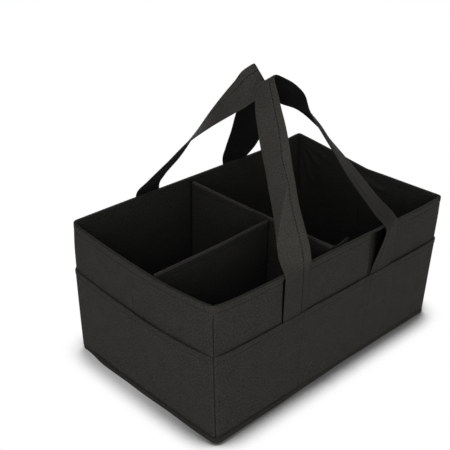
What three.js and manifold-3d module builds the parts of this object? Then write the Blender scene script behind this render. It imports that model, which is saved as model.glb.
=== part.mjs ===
import * as THREE from 'three';
import { mergeVertices } from 'three/addons/utils/BufferGeometryUtils.js';
import Module from 'manifold-3d';

const wasm = await Module();
wasm.setup();

// A soft open-top caddy of stiffened nonwoven fabric with outer pockets, two carrying straps and a
// T-shaped divider held by hook-and-loop flaps. Millimetres, Z up, front long wall facing -Y,
// underside at Z = 0 and the origin in the middle of the underside.

// Driving sizes, at the rim; the base is smaller by the taper
const WIDTH = 389;
const DEPTH = 240;
const HEIGHT = 180;
const TAPER = 0.017;
const FABRIC = 0.9;
const BOARD = 2;
const SLIP = 0.2;
const GAP = 0.3;
const RIM_HEM = 9;
const BOARD_INSET = 6;

// End walls fold at an upright crease in their middle; these are the crease's shifts at the rim,
// both towards -X, so the left wall bellies out and the right wall dips in.
const LEFT_BOW = 10;
const RIGHT_BOW = 13;
const BOW_RUN = 70;
const CREASE = 5;

// Outer pockets, bottom binding and straps
const POCKET_MOUTH = 117;
const BINDING_RISE = 9;
const CORNER_ROUND = 3;
const STRAP = 1.6;
const STRAP_WIDTH = 38;
const STRAP_TUCK = 45;

// Handles: half the distance between the two feet, the feet's middle and the standing length,
// seen from outside the wall that carries them, and the slant of the strap over its crest.
const FRONT_HALF = 78;
const FRONT_MIDDLE = 9;
const FRONT_REACH = 203;
const REAR_HALF = 72;
const REAR_MIDDLE = 8;
const REAR_REACH = 193;
const HANDLE_PARTING = 1.3;
const CREST_TILT = 40;
const FOOT_RISE = 1;
const STRAP_STEPS = 44;

// Divider insert
const CROSS_X = -12;
const LONG_Y = -21.5;
const DIVIDER_DROP = 0.6;
const FLAP = 28;
const LEFT_FLAP = 18;
const JUNCTION_FLAP = 24;
const TAPE = 0.8;
const TAPE_INSET = 3;
const TAPE_END = 12;
const FLOOR_CLEAR = 1;
const BASE_BOARD = 2.4;

// Sizes that follow
const WALL = 2 * FABRIC + 2 * SLIP + BOARD;
const HALF_W = WIDTH / 2;
const HALF_D = DEPTH / 2;
const FOOT = FABRIC + GAP;
const POCKET_STAND = GAP + STRAP + GAP;
const POCKET_OUT = POCKET_STAND + FABRIC;
const BASE_BOARD_Z = FOOT;
const LINING_Z = BASE_BOARD_Z + BASE_BOARD + GAP;
const FLOOR_TOP = LINING_Z + FABRIC;
const DIVIDER_FOOT = FLOOR_TOP + GAP;
const DIVIDER_TOP = HEIGHT - DIVIDER_DROP;
const POCKET_FOOT = BINDING_RISE + GAP;

// Finishes
const outerFabric = { color: 0x2b2928, roughness: 0.93, metalness: 0 };
const liningFabric = { color: 0x1b1a1a, roughness: 0.95, metalness: 0 };
const strapFabric = { color: 0x302e2d, roughness: 0.92, metalness: 0 };
const bindingFabric = { color: 0x232121, roughness: 0.94, metalness: 0 };
const greyBoard = { color: 0x8b8479, roughness: 0.9, metalness: 0 };
const blackTape = { color: 0x141414, roughness: 0.97, metalness: 0 };

const root = new THREE.Group();
root.name = 'diaper_caddy';

// Draws a piece in towards the base with the walls.
function tapered(geometry) {
  const position = geometry.attributes.position;
  for (let i = 0; i < position.count; i += 1) {
    const share = 1 - TAPER * (1 - position.getZ(i) / HEIGHT);
    position.setX(i, position.getX(i) * share);
    position.setY(i, position.getY(i) * share);
  }
  return geometry;
}

function addPiece(name, geometry, finish, parent = root) {
  return addFree(name, tapered(geometry), finish, parent);
}

function addFree(name, geometry, finish, parent) {
  const mesh = new THREE.Mesh(geometry, new THREE.MeshStandardMaterial(finish));
  mesh.name = name;
  parent.add(mesh);
  return mesh;
}

// A block between two corners, split into cells where it will be bent.
function block(low, high, cells = [1, 1, 1]) {
  const size = low.map((value, axis) => high[axis] - value);
  const geometry = new THREE.BoxGeometry(...size, ...cells);
  geometry.translate(...low.map((value, axis) => (value + high[axis]) / 2));
  return geometry;
}

// Shift of the end walls in X: greatest at the crease on the rim, nothing at the corners and base.
function bowShift(x, y, z) {
  const bow = x < 0 ? LEFT_BOW : RIGHT_BOW;
  const hat = Math.max(0, 1 - Math.abs(y) / HALF_D);
  const wallStart = HALF_W - WALL - 4 * (GAP + TAPE);
  const run = THREE.MathUtils.clamp((Math.abs(x) - wallStart + BOW_RUN) / BOW_RUN, 0, 1);
  return -bow * hat * run * z / HEIGHT;
}

function bowed(geometry) {
  const position = geometry.attributes.position;
  for (let i = 0; i < position.count; i += 1) {
    const x = position.getX(i);
    position.setX(i, x + bowShift(x, position.getY(i), position.getZ(i)));
  }
  return geometry;
}

function solid(geometry) {
  const bare = new THREE.BufferGeometry();
  bare.setAttribute('position', geometry.attributes.position.clone());
  bare.setIndex(geometry.index ? geometry.index.clone() : null);
  const merged = mergeVertices(bare, 1e-4);
  return new wasm.Manifold(new wasm.Mesh({
    numProp: 3,
    vertProperties: new Float32Array(merged.attributes.position.array),
    triVerts: new Uint32Array(merged.index.array),
  }));
}

function surface(body) {
  const mesh = body.getMesh();
  const geometry = new THREE.BufferGeometry();
  geometry.setAttribute('position', new THREE.BufferAttribute(new Float32Array(mesh.vertProperties), 3));
  geometry.setIndex(new THREE.BufferAttribute(new Uint32Array(mesh.triVerts), 1));
  geometry.computeVertexNormals();
  return geometry;
}

// A fabric sleeve with slots for its boards, open along the bottom edge.
function sleeve(outside, slots) {
  return surface(slots.reduce((body, slot) => body.subtract(solid(slot)), solid(outside)));
}

function joined(shapes) {
  return surface(shapes.slice(1).reduce((body, shape) => body.add(solid(shape)), solid(shapes[0])));
}

// Floor: outer base fabric, stiff base board and the lining over it
const floorX = HALF_W - WALL - FLOOR_CLEAR;
const floorY = HALF_D - WALL - FLOOR_CLEAR;
addPiece('base_panel', block([-HALF_W, -HALF_D, 0], [HALF_W, HALF_D, FABRIC]), outerFabric);
addPiece('base_board', block([-floorX, -floorY, BASE_BOARD_Z],
  [floorX, floorY, BASE_BOARD_Z + BASE_BOARD]), greyBoard);
addPiece('floor_lining', block([-floorX, -floorY, LINING_Z], [floorX, floorY, FLOOR_TOP]), liningFabric);

// Long walls: one board each inside a sleeve with a hemmed rim
const boardTop = HEIGHT - RIM_HEM - SLIP;
for (const [side, sign] of [['front', -1], ['rear', 1]]) {
  const outer = sign * HALF_D;
  const inner = sign * (HALF_D - WALL);
  const slotOut = sign * (HALF_D - FABRIC);
  const slotIn = sign * (HALF_D - WALL + FABRIC);
  const boardOut = sign * (HALF_D - FABRIC - SLIP);
  const boardIn = sign * (HALF_D - WALL + FABRIC + SLIP);
  const reach = HALF_W - BOARD_INSET;
  const cover = block([-HALF_W, Math.min(outer, inner), FOOT], [HALF_W, Math.max(outer, inner), HEIGHT]);
  const slot = block([-reach - SLIP, Math.min(slotOut, slotIn), FOOT - 1],
    [reach + SLIP, Math.max(slotOut, slotIn), HEIGHT - RIM_HEM]);
  addPiece(`${side}_wall_cover`, sleeve(cover, [slot]), outerFabric);
  addPiece(`${side}_wall_board`, block([-reach, Math.min(boardOut, boardIn), FOOT],
    [reach, Math.max(boardOut, boardIn), boardTop]), greyBoard);
}

// End walls: two boards each, either side of the crease, in a sleeve that bows with the wall
const endReach = HALF_D - WALL - GAP;
for (const [side, sign] of [['left', -1], ['right', 1]]) {
  const between = (a, b) => [Math.min(sign * a, sign * b), Math.max(sign * a, sign * b)];
  const [coverLow, coverHigh] = between(HALF_W, HALF_W - WALL);
  const [slotLow, slotHigh] = between(HALF_W - FABRIC, HALF_W - WALL + FABRIC);
  const [boardLow, boardHigh] = between(HALF_W - FABRIC - SLIP, HALF_W - WALL + FABRIC + SLIP);
  const far = endReach - BOARD_INSET;
  const cover = bowed(block([coverLow, -endReach, FOOT], [coverHigh, endReach, HEIGHT], [1, 16, 6]));
  const slots = [];
  for (const [half, way] of [['front', -1], ['rear', 1]]) {
    const span = (grow) => [way * (CREASE / 2 - grow), way * (far + grow)].sort((a, b) => a - b);
    const [slotNear, slotFar] = span(SLIP);
    const [boardNear, boardFar] = span(0);
    slots.push(bowed(block([slotLow, slotNear, FOOT - 1], [slotHigh, slotFar, HEIGHT - RIM_HEM], [1, 8, 6])));
    addPiece(`${side}_wall_${half}_board`, bowed(block([boardLow, boardNear, FOOT],
      [boardHigh, boardFar, boardTop], [1, 8, 6])), greyBoard);
  }
  addPiece(`${side}_wall_cover`, sleeve(cover, slots), outerFabric);
}

// Pocket panels: the long ones wrap the corners, the end ones are also sewn down the crease
const wrapX = HALF_W + POCKET_OUT;
for (const [side, sign] of [['front', -1], ['rear', 1]]) {
  const flat = [sign * (HALF_D + POCKET_STAND), sign * (HALF_D + POCKET_OUT)].sort((a, b) => a - b);
  const turn = [sign * (HALF_D - CORNER_ROUND), sign * (HALF_D + POCKET_OUT)].sort((a, b) => a - b);
  const panel = block([-wrapX, flat[0], POCKET_FOOT], [wrapX, flat[1], POCKET_MOUTH]);
  const leftTurn = block([-wrapX, turn[0], POCKET_FOOT], [-wrapX + FABRIC, turn[1], POCKET_MOUTH]);
  const rightTurn = block([wrapX - FABRIC, turn[0], POCKET_FOOT], [wrapX, turn[1], POCKET_MOUTH]);
  addPiece(`${side}_pocket`, joined([panel, leftTurn, rightTurn]), outerFabric);
}
const endPocketReach = HALF_D - CORNER_ROUND - GAP;
for (const [side, sign] of [['left', -1], ['right', 1]]) {
  const flat = [sign * (HALF_W + POCKET_STAND), sign * (HALF_W + POCKET_OUT)].sort((a, b) => a - b);
  const seam = [sign * (HALF_W + GAP), sign * (HALF_W + POCKET_OUT)].sort((a, b) => a - b);
  const panel = block([flat[0], -endPocketReach, POCKET_FOOT], [flat[1], endPocketReach, POCKET_MOUTH], [1, 16, 4]);
  const seams = [-endPocketReach, -FABRIC / 2, endPocketReach - FABRIC].map((start) => block(
    [seam[0], start, POCKET_FOOT], [seam[1], start + FABRIC, POCKET_MOUTH], [1, 2, 4]));
  addPiece(`${side}_pocket`, joined([panel, ...seams].map(bowed)), outerFabric);
}

// Binding band round the bottom edge, with rounded corners and a point on each crease
function roundedOutline(path, halfX, halfY, round) {
  path.moveTo(halfX, -halfY + round);
  path.lineTo(halfX, 0);
  path.lineTo(halfX, halfY - round);
  path.absarc(halfX - round, halfY - round, round, 0, Math.PI / 2, false);
  path.lineTo(-halfX + round, halfY);
  path.absarc(-halfX + round, halfY - round, round, Math.PI / 2, Math.PI, false);
  path.lineTo(-halfX, 0);
  path.lineTo(-halfX, -halfY + round);
  path.absarc(-halfX + round, -halfY + round, round, Math.PI, 1.5 * Math.PI, false);
  path.lineTo(halfX - round, -halfY);
  path.absarc(halfX - round, -halfY + round, round, 1.5 * Math.PI, 2 * Math.PI, false);
  return path;
}
const bindingShape = roundedOutline(new THREE.Shape(), HALF_W + POCKET_OUT, HALF_D + POCKET_OUT,
  CORNER_ROUND + POCKET_OUT);
const bindingHole = new THREE.Path();
bindingHole.moveTo(HALF_W + GAP, -HALF_D - GAP);
bindingHole.lineTo(HALF_W + GAP, 0);
bindingHole.lineTo(HALF_W + GAP, HALF_D + GAP);
bindingHole.lineTo(-HALF_W - GAP, HALF_D + GAP);
bindingHole.lineTo(-HALF_W - GAP, 0);
bindingHole.lineTo(-HALF_W - GAP, -HALF_D - GAP);
bindingHole.closePath();
bindingShape.holes.push(bindingHole);
const binding = new THREE.ExtrudeGeometry(bindingShape,
  { depth: BINDING_RISE - GAP, bevelEnabled: false, curveSegments: 6 });
binding.translate(0, 0, GAP);
addPiece('bottom_binding', surface(solid(bowed(binding))), bindingFabric);

// Strap stations: along in half spacings from the feet's middle, reach as a share of the standing
// length, and the strap's turn about its own run in degrees.
const frontStations = [
  [-1, 0, 0], [-1, 0.02, 4], [-0.97, 0.1, 26], [-0.82, 0.35, 64], [-0.7, 0.57, 78], [-0.6, 0.735, 83],
  [-0.505, 0.89, 90], [-0.42, 1, 97], [-0.3, 0.95, 103], [-0.14, 0.87, 100], [0.08, 0.765, 80],
  [0.29, 0.63, 58], [0.425, 0.52, 50], [0.63, 0.36, 42], [0.95, 0.1, 16], [1, 0.02, 4], [1, 0, 0],
];
const rearStations = [
  [-1, 0, 0], [-1, 0.02, 4], [-0.905, 0.15, 22], [-0.79, 0.34, 42], [-0.605, 0.565, 60], [-0.39, 0.795, 77],
  [-0.235, 0.94, 90], [-0.155, 1, 99], [-0.04, 0.96, 92], [0.07, 0.88, 74], [0.21, 0.78, 53],
  [0.415, 0.67, 35], [0.65, 0.5, 20], [0.805, 0.32, 13], [0.98, 0.15, 8], [1, 0.02, 2], [1, 0, 0],
];

// The standing strap of the front wall: it leans in about its foot until the inner edge of its
// crest is at the middle of the caddy, and turns edge on towards the crest.
function handleLoop(stations, half, middle, reach) {
  const footY = -(HALF_D + GAP + STRAP / 2);
  const crestY = -(HANDLE_PARTING + STRAP_WIDTH / 2 * Math.cos(THREE.MathUtils.degToRad(CREST_TILT)));
  const lean = Math.asin((crestY - footY) / reach);
  const up = new THREE.Vector3(0, Math.sin(lean), Math.cos(lean));
  const out = new THREE.Vector3(0, -Math.cos(lean), Math.sin(lean));
  const foot = new THREE.Vector3(middle, footY, HEIGHT + FOOT_RISE);
  const route = new THREE.CatmullRomCurve3(stations.map(([along, share]) => foot.clone()
    .add(new THREE.Vector3(along * half, 0, 0)).addScaledVector(up, share * reach)), false, 'centripetal');
  const turnAt = (share) => {
    const place = share * (stations.length - 1);
    const index = Math.min(Math.floor(place), stations.length - 2);
    return THREE.MathUtils.degToRad(THREE.MathUtils.lerp(stations[index][2], stations[index + 1][2], place - index));
  };
  const strip = new THREE.BoxGeometry(STRAP_WIDTH, STRAP, 1, 2, 1, STRAP_STEPS);
  const position = strip.attributes.position;
  for (let i = 0; i < position.count; i += 1) {
    const share = position.getZ(i) + 0.5;
    const centre = route.getPoint(share);
    const run = route.getTangent(share);
    const level = new THREE.Vector3().crossVectors(run, out).normalize();
    const turn = turnAt(share);
    const across = level.multiplyScalar(Math.cos(turn)).addScaledVector(out, Math.sin(turn));
    const face = new THREE.Vector3().crossVectors(across, run).normalize();
    centre.addScaledVector(across, position.getX(i)).addScaledVector(face, -position.getY(i));
    position.setXYZ(i, centre.x, centre.y, centre.z);
  }
  return surface(solid(strip));
}

// Sewn strap ends: flat on the wall, their tails inside the pocket
function strapEnd(centre) {
  const face = -(HALF_D + GAP);
  return block([centre - STRAP_WIDTH / 2, face - STRAP, POCKET_MOUTH - STRAP_TUCK],
    [centre + STRAP_WIDTH / 2, face, HEIGHT + GAP]);
}

const handles = [
  ['front', frontStations, FRONT_HALF, FRONT_MIDDLE, FRONT_REACH, 0, ['left', 'right']],
  ['rear', rearStations, REAR_HALF, REAR_MIDDLE, REAR_REACH, Math.PI, ['right', 'left']],
];
for (const [side, stations, half, middle, reach, turn, names] of handles) {
  const carrier = new THREE.Group();
  carrier.rotation.z = turn;
  root.add(carrier);
  addFree(`${side}_handle_loop`, handleLoop(stations, half, middle, reach), strapFabric, carrier);
  addPiece(`${side}_${names[0]}_strap_end`, strapEnd(middle - half), strapFabric, carrier);
  addPiece(`${side}_${names[1]}_strap_end`, strapEnd(middle + half), strapFabric, carrier);
}

// Distances from the middle to the faces of the tape and flap stack inside a wall
function stack(face) {
  const wallTape = face - GAP - TAPE;
  const hookTape = wallTape - GAP - TAPE;
  const flap = hookTape - GAP - FABRIC;
  return { wallTape, hookTape, flap, end: flap - GAP };
}
const stackY = stack(HALF_D - WALL);
const stackX = stack(HALF_W - WALL);
const tapeLow = DIVIDER_FOOT + TAPE_END;
const tapeHigh = DIVIDER_TOP - TAPE_END;

// Cross divider with a flap at each end, hooked to loop tapes on the long walls
const crossLeft = CROSS_X - WALL / 2;
const crossRight = CROSS_X + WALL / 2;
const crossSlot = block([crossLeft + FABRIC, -stackY.end + BOARD_INSET - SLIP, DIVIDER_FOOT - 1],
  [crossRight - FABRIC, stackY.end - BOARD_INSET + SLIP, DIVIDER_TOP - RIM_HEM]);
addPiece('cross_divider_cover', sleeve(block([crossLeft, -stackY.end, DIVIDER_FOOT],
  [crossRight, stackY.end, DIVIDER_TOP]), [crossSlot]), liningFabric);
addPiece('cross_divider_board', block([crossLeft + FABRIC + SLIP, -stackY.end + BOARD_INSET, DIVIDER_FOOT],
  [crossRight - FABRIC - SLIP, stackY.end - BOARD_INSET, DIVIDER_TOP - RIM_HEM - SLIP]), greyBoard);
for (const [side, sign] of [['front', -1], ['rear', 1]]) {
  const layer = (inner, thick) => [sign * inner, sign * (inner + thick)].sort((a, b) => a - b);
  const flap = layer(stackY.flap, FABRIC);
  const hook = layer(stackY.hookTape, TAPE);
  const loop = layer(stackY.wallTape, TAPE);
  addPiece(`cross_${side}_flap`, block([crossLeft, flap[0], DIVIDER_FOOT],
    [crossRight + FLAP, flap[1], DIVIDER_TOP]), liningFabric);
  addPiece(`cross_${side}_hook_tape`, block([crossRight + TAPE_INSET, hook[0], tapeLow],
    [crossRight + FLAP - TAPE_INSET, hook[1], tapeHigh]), blackTape);
  addPiece(`${side}_wall_loop_tape`, block([crossRight + TAPE_INSET, loop[0], tapeLow],
    [crossRight + FLAP - TAPE_INSET, loop[1], tapeHigh]), blackTape);
}

// Lengthwise divider: hung on the cross divider by its junction flap, hooked to the left wall
const longLow = LONG_Y - WALL / 2;
const longHigh = LONG_Y + WALL / 2;
const longNear = crossLeft - GAP - FABRIC - 2 * GAP;
addPiece('divider_junction_flap', block([crossLeft - GAP - FABRIC, longHigh - JUNCTION_FLAP / 6, DIVIDER_FOOT],
  [crossLeft - GAP, longHigh + JUNCTION_FLAP, DIVIDER_TOP]), liningFabric);
const longSlot = bowed(block([-stackX.end + BOARD_INSET - SLIP, longLow + FABRIC, DIVIDER_FOOT - 1],
  [longNear - BOARD_INSET + SLIP, longHigh - FABRIC, DIVIDER_TOP - RIM_HEM], [12, 1, 4]));
addPiece('long_divider_cover', sleeve(bowed(block([-stackX.end, longLow, DIVIDER_FOOT],
  [longNear, longHigh, DIVIDER_TOP], [12, 1, 4])), [longSlot]), liningFabric);
addPiece('long_divider_board', bowed(block([-stackX.end + BOARD_INSET, longLow + FABRIC + SLIP, DIVIDER_FOOT],
  [longNear - BOARD_INSET, longHigh - FABRIC - SLIP, DIVIDER_TOP - RIM_HEM - SLIP], [12, 1, 4])), greyBoard);
addPiece('long_divider_flap', bowed(block([-stackX.flap - FABRIC, longLow, DIVIDER_FOOT],
  [-stackX.flap, longHigh + LEFT_FLAP, DIVIDER_TOP], [1, 4, 6])), liningFabric);
const leftTapeY = [longHigh, longHigh + LEFT_FLAP - TAPE_INSET];
addPiece('long_divider_hook_tape', bowed(block([-stackX.hookTape - TAPE, leftTapeY[0], tapeLow],
  [-stackX.hookTape, leftTapeY[1], tapeHigh], [1, 4, 6])), blackTape);
addPiece('left_wall_loop_tape', bowed(block([-stackX.wallTape - TAPE, leftTapeY[0], tapeLow],
  [-stackX.wallTape, leftTapeY[1], tapeHigh], [1, 4, 6])), blackTape);

export default root;
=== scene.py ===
import math

import bmesh
import bpy
import numpy as np
from mathutils import Matrix, Vector, noise


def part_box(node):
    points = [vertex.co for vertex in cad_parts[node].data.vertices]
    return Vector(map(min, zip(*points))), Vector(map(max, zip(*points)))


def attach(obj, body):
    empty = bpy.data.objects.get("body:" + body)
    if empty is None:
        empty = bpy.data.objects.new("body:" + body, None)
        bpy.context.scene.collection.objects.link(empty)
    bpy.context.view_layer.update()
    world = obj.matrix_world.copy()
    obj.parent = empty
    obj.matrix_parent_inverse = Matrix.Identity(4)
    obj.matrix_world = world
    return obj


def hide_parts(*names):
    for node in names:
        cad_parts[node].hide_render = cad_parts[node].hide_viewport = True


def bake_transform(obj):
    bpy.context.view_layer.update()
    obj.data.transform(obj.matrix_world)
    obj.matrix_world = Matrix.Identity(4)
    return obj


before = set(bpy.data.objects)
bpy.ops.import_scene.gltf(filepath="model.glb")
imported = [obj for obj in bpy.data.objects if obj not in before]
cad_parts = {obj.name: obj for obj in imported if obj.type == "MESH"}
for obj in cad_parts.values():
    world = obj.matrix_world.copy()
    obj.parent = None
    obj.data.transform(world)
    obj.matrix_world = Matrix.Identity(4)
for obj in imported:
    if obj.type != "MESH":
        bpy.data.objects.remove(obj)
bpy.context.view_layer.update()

# The caddy's cloth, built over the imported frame. Lengths are in millimetres, as in the part's source,
# and MM turns them into metres where a mesh is made. Z is up and the front long wall faces -Y.
MM = 0.001


def node_box(name):
    low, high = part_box(name)
    return np.array(low) / MM, np.array(high) / MM


# Sizes read from the frame
wall_low, wall_high = node_box("front_wall_cover")
pocket_low, pocket_high = node_box("front_pocket")
divider_low, divider_high = node_box("cross_divider_cover")
HALF_W = wall_high[0]
HALF_D = -wall_low[1]
HEIGHT = wall_high[2]
WALL_FOOT = wall_low[2]
POCKET_FOOT = pocket_low[2]
POCKET_MOUTH = pocket_high[2]
DIVIDER_FOOT = divider_low[2]
DIVIDER_TOP = divider_high[2]
DIVIDER_REACH = divider_high[1]
LINING_TOP = node_box("floor_lining")[1][2]
TAPER = 0.017

# Cloth sizes
WALL = 4.2
CLOTH = 0.9
STRAP = 1.6
STRAP_WIDTH = 38.5
HEM = 8.5
POCKET_HEM = 8.0
GROOVE = 0.4
RIM_ROUND = 1.2
GAP = 0.3

# Corner radii: at the foot, then at the rim's front right, front left, rear right and rear left corner
CORNER_LOW = 4.6
CORNER_RIM = 6.5
CORNER_NEAR = 12.0
CORNER_FAR = 4.7
CORNER_LEFT = 8.0

# Shape of the standing walls: the left one bellies out, the right one folds in along its crease, the
# front rim flares, the rear rim lifts and the foot is spread and skewed
LEFT_BOW = 7.0
LEFT_CREST = -40.0
LEFT_FLARE = 3.4
RIGHT_FLARE = 3.4
RIGHT_DIP = 14.0
RIGHT_CREASE = -11.0
BOW_FROM = 116.0
BOW_RUN = 70.0
FRONT_FLARE = 5.0
REAR_OUT = 3.0
REAR_FLARE = 1.2
REAR_LIFT = 1.6
REAR_SAG = 2.2
REAR_PEAK = 3.8
FOOT_SKEW = 5.2
FRONT_FOOT = 1.4
LEFT_FOOT = 2.0
RIGHT_FOOT = 7.0
RIGHT_CORNER_FLARE = 2.6
FLARE_FROM = 40.0
FLARE_RUN = 70.0
FLARE_FADE = 70.0
SPREAD_FROM = 40.0
SPREAD_RUN = 80.0
SAG_FROM = -160.0
SAG_RUN = 290.0
PEAK_FROM = 140.0
PEAK_RUN = 55.0
LIFT_FROM = -40.0
LIFT_RUN = 150.0


def smooth(t):
    t = np.clip(t, 0.0, 1.0)
    return t * t * (3 - 2 * t)


def bump(distance, width):
    return np.exp(-(distance / width) ** 2)


def unit(vectors):
    return vectors / np.linalg.norm(vectors, axis=-1, keepdims=True)


def lengths(points):
    """Lengths along a line of points."""
    return np.append(0, np.cumsum(np.linalg.norm(np.diff(points, axis=0), axis=1)))


def place(points):
    """Carries box coordinates to the caddy's standing shape."""
    x, y, z = np.moveaxis(np.asarray(points, float), -1, 0)
    rise = np.clip(z / HEIGHT, 0, 1)
    fade = 1 - smooth((z - HEIGHT) / FLARE_FADE)
    share = 1 - TAPER * (1 - rise)
    off_crest = np.where(y > LEFT_CREST, HALF_D - LEFT_CREST, HALF_D + LEFT_CREST)
    belly = 1 - np.clip(np.abs(y - LEFT_CREST) / off_crest, 0, 1) ** 1.7
    spread = LEFT_FOOT * (1 - rise) * (1 - smooth((y - SPREAD_FROM) / SPREAD_RUN))
    left = -(LEFT_BOW * belly + LEFT_FLARE) * (1 - (1 - rise) ** 2.2) - spread
    left = left * smooth((-x - BOW_FROM) / BOW_RUN)
    off_crease = np.where(y > RIGHT_CREASE, HALF_D - RIGHT_CREASE, HALF_D + RIGHT_CREASE)
    fold = 1 - np.clip(np.abs(y - RIGHT_CREASE) / off_crease, 0, 1)
    right = (RIGHT_FLARE * (2 - rise) - RIGHT_DIP * fold) * rise + RIGHT_FOOT * (1 - rise)
    right = right * smooth((x - BOW_FROM) / BOW_RUN)
    flare = np.clip(1 - (x / HALF_W) ** 4, 0, 1) * rise ** 2 * fade
    corner = RIGHT_CORNER_FLARE * smooth((x - BOW_FROM) / BOW_RUN) * rise ** 2 * fade
    skew = (FOOT_SKEW * x / HALF_W - FRONT_FOOT) * (1 - rise)
    front = (skew - corner - FRONT_FLARE * flare) * smooth((-y - FLARE_FROM) / FLARE_RUN)
    rear = (REAR_OUT + REAR_FLARE * rise) * fade * smooth((y - FLARE_FROM) / FLARE_RUN)
    crest = REAR_LIFT - REAR_SAG * smooth((x - SAG_FROM) / SAG_RUN)
    crest = crest + REAR_PEAK * smooth((x - PEAK_FROM) / PEAK_RUN)
    lift = crest * rise ** 2 * fade * smooth((y - LIFT_FROM) / LIFT_RUN)
    return np.stack([x * share + left + right, y * share + front + rear, z + lift], -1)


# Each side: half its length, how far out it stands, and its along and outward directions
SIDES = {
    "front": (HALF_W, HALF_D, (1, 0), (0, -1)),
    "right": (HALF_D, HALF_W, (0, 1), (1, 0)),
    "rear": (HALF_W, HALF_D, (-1, 0), (0, 1)),
    "left": (HALF_D, HALF_W, (0, -1), (-1, 0)),
}


def corner_radius(side, share, z):
    """Corner radius at a side's end: it opens out towards the rim, most at the front left corner."""
    ends = {"front": (CORNER_NEAR, CORNER_RIM), "right": (CORNER_RIM, CORNER_FAR),
            "rear": (CORNER_FAR, CORNER_LEFT), "left": (CORNER_LEFT, CORNER_NEAR)}
    rim = np.where(share < 0, *ends[side])
    return CORNER_LOW + (rim - CORNER_LOW) * smooth((z / HEIGHT - 0.8) / 0.2)


# How far each side's rim sinks below the rear one, at shares of its half length
RIM_DROPS = {
    "front": ((-1, 1.6), (-0.82, 2.8), (-0.5, 2.0), (-0.1, 1.4), (0.3, 2.4), (0.68, 4.4), (0.85, 3.6),
              (1, 2.3)),
    "right": ((-1, 2.3), (-0.7, 1.6), (-0.3, 0.4), (1, 0)),
    "rear": ((-1, 0), (1, 0)),
    "left": ((-1, 0), (-0.88, 3.4), (-0.4, 3.8), (0.1, 2.9), (0.55, 2.6), (0.9, 1.6), (1, 1.6)),
}


def rim_drop(side, share, z):
    shares, drops = zip(*RIM_DROPS[side])
    return np.interp(share, shares, drops) * np.clip(z / HEIGHT, 0, 1) ** 4


def side_reach(side):
    """Half the length of a side's outer face at its foot, to the middle of its corners."""
    return SIDES[side][0] - CORNER_LOW * (1 - math.pi / 4)


def ring(side, share, off, z):
    """Box coordinates at a share of a side's half length, off its wall's outer face, at height z."""
    half, out_half, along, out = SIDES[side]
    share, off, z = np.broadcast_arrays(share, off, z)
    radius = corner_radius(side, share, z)
    run = np.abs(share) * (half - radius * (1 - math.pi / 4))
    straight = half - radius
    turn = np.clip((run - straight) / radius, 0, None)
    a = np.sign(share) * (np.minimum(run, straight) + (radius + off) * np.sin(turn))
    o = out_half - radius + (radius + off) * np.cos(turn)
    x, y = (a * along[k] + o * out[k] for k in (0, 1))
    return np.stack([x, y, z - rim_drop(side, share, z)], -1)


# Where columns stand closer: off a seam, and short of the middle of a corner
SEAM_STEPS = (-1.8, -1.1, -0.5, -0.25, 0.0, 0.25, 0.5, 1.1, 1.8)
CORNER_STEPS = (2.4, 1.5, 0.8, 0.3, 0.0)


def columns(side, step, seams=()):
    """Shares of a side's half length: even steps, closer round the corners and at the seams."""
    reach = side_reach(side)
    straight = SIDES[side][0] - CORNER_NEAR
    flat = np.linspace(-straight, straight, int(2 * straight / step) + 1)
    close = [seam + off for seam in seams for off in SEAM_STEPS]
    flat = [a for a in flat if all(abs(a - b) > 0.6 for b in close)]
    near = reach - np.array(CORNER_STEPS)
    turn = np.append(np.linspace(straight, near[0], 8)[1:], near[1:])
    return np.sort(np.concatenate([-turn, flat, close, turn])) / reach


def uneven(along, across, scale, seed):
    """Slow unevenness over two coordinates, from -1 to 1."""
    spots = zip(np.ravel(along), np.ravel(across))
    values = [noise.noise(Vector((a / scale, b / scale, seed))) for a, b in spots]
    return np.array(values).reshape(np.shape(along))


def ripple(side, share, z, scale, seed):
    """Unevenness of the cloth over a side's board."""
    return uneven(share * SIDES[side][0], z, scale, seed)


def creases(lines, along, z):
    """Height of sharp folds given as (along, z, along, z, height, width) from end to end."""
    total = np.zeros(np.shape(along))
    for a0, z0, a1, z1, height, width in lines:
        run = np.array([a1 - a0, z1 - z0])
        length = np.hypot(*run)
        t = ((along - a0) * run[0] + (z - z0) * run[1]) / length ** 2
        away = ((along - a0) * -run[1] + (z - z0) * run[0]) / length
        ends = smooth((t + 0.1) / 0.3) * smooth((1.1 - t) / 0.3)
        total += height * bump(away, width) * ends
    return total


# Meshes
def thick_sheet(front, back):
    """Vertices, faces, cloth coordinates and face sides of a closed sheet between two point grids."""
    rows, cols = front.shape[:2]
    count = rows * cols
    index = np.arange(count).reshape(rows, cols)
    quad = np.stack([index[:-1, :-1], index[:-1, 1:], index[1:, 1:], index[1:, :-1]], -1).reshape(-1, 4)
    edge = np.concatenate([index[0, :], index[1:, -1], index[-1, -2::-1], index[-2::-1, 0]])
    rim = np.stack([edge[:-1], edge[:-1] + count, edge[1:] + count, edge[1:]], -1)
    faces = np.concatenate([quad, quad[:, ::-1] + count, rim])
    side = np.concatenate([np.zeros(len(quad), int), np.ones(len(quad), int), np.zeros(len(rim), int)])
    across = np.linalg.norm(np.diff(front, axis=1), axis=-1)
    upward = np.linalg.norm(np.diff(front, axis=0), axis=-1)
    u = np.concatenate([np.zeros((rows, 1)), np.cumsum(across, 1)], 1)
    v = np.concatenate([np.zeros((1, cols)), np.cumsum(upward, 0)], 0)
    cloth = np.stack([u - u.mean(), v], -1).reshape(-1, 2)
    points = np.concatenate([front.reshape(-1, 3), back.reshape(-1, 3)])
    return points, faces, np.concatenate([cloth, cloth]), side


def side_sheet(side, share, z, outer, inner):
    """A closed sheet on a side between two stand-offs."""
    return thick_sheet(place(ring(side, share, outer, z)), place(ring(side, share, inner, z)))


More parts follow.
